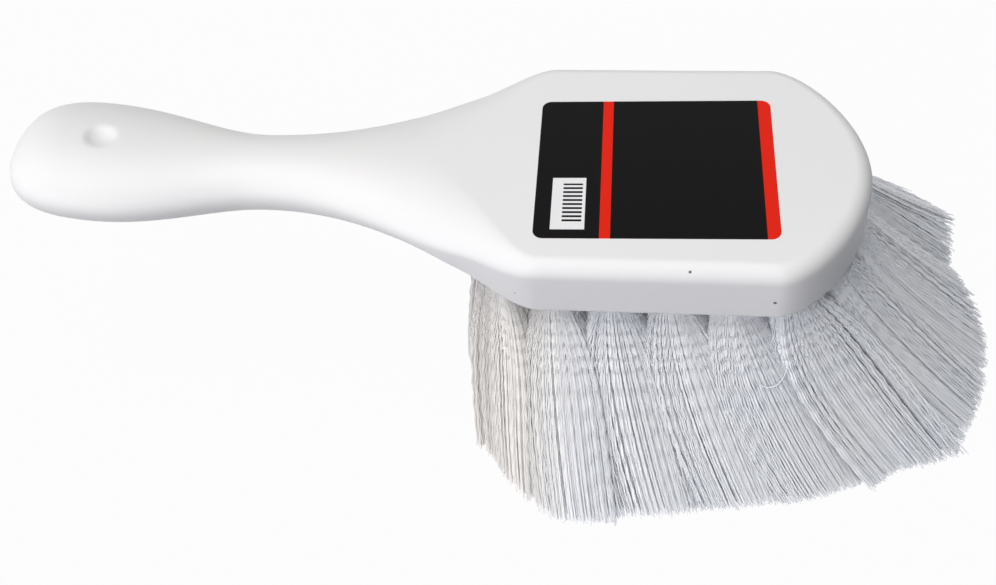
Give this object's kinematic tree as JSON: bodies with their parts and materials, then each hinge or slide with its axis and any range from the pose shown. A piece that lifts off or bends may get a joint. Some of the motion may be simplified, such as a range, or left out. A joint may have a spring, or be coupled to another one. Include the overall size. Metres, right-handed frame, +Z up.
{
  "type": "utility brush",
  "caption": "Hand-held scrubbing brush: a rounded moulded head in one piece with a curved handle, with long flared bristle tufts and a plain label on top.",
  "frame": {"origin": "centre of the whole brush in plan, on the plane of the trimmed bristle tips", "axes": "+X from the handle towards the nose of the head, +Y to the left of someone who looks along +X with the bristles down, +Z up, away from the bristle tips"},
  "size_m": [0.2688, 0.1358, 0.0748],
  "materials": {
    "block": "white injection-moulded plastic with a soft satin sheen",
    "label": "smooth printed label film, black with red bands, unlettered",
    "bristles": "translucent white crimped nylon filament",
    "anchors": "galvanised flat wire"
  },
  "bodies": {
    "root": {"anchor_01": "anchors", "anchor_02": "anchors", "anchor_03": "anchors", "anchor_04": "anchors", "anchor_05": "anchors", "anchor_06": "anchors", "anchor_07": "anchors", "anchor_08": "anchors", "anchor_09": "anchors", "anchor_10": "anchors", "anchor_11": "anchors", "anchor_12": "anchors", "anchor_13": "anchors", "anchor_14": "anchors", "anchor_15": "anchors", "anchor_16": "anchors", "anchor_17": "anchors", "anchor_18": "anchors", "anchor_19": "anchors", "anchor_20": "anchors", "anchor_21": "anchors", "anchor_22": "anchors", "anchor_23": "anchors", "anchor_24": "anchors", "anchor_25": "anchors", "anchor_26": "anchors", "anchor_27": "anchors", "anchor_28": "anchors", "anchor_29": "anchors", "block": "block", "label": "label", "tuft_01": "bristles", "tuft_02": "bristles", "tuft_03": "bristles", "tuft_04": "bristles", "tuft_05": "bristles", "tuft_06": "bristles", "tuft_07": "bristles", "tuft_08": "bristles", "tuft_09": "bristles", "tuft_10": "bristles", "tuft_11": "bristles", "tuft_12": "bristles", "tuft_13": "bristles", "tuft_14": "bristles", "tuft_15": "bristles", "tuft_16": "bristles", "tuft_17": "bristles", "tuft_18": "bristles", "tuft_19": "bristles", "tuft_20": "bristles", "tuft_21": "bristles", "tuft_22": "bristles", "tuft_23": "bristles", "tuft_24": "bristles", "tuft_25": "bristles", "tuft_26": "bristles", "tuft_27": "bristles", "tuft_28": "bristles", "tuft_29": "bristles"}
  },
  "joints": []
}
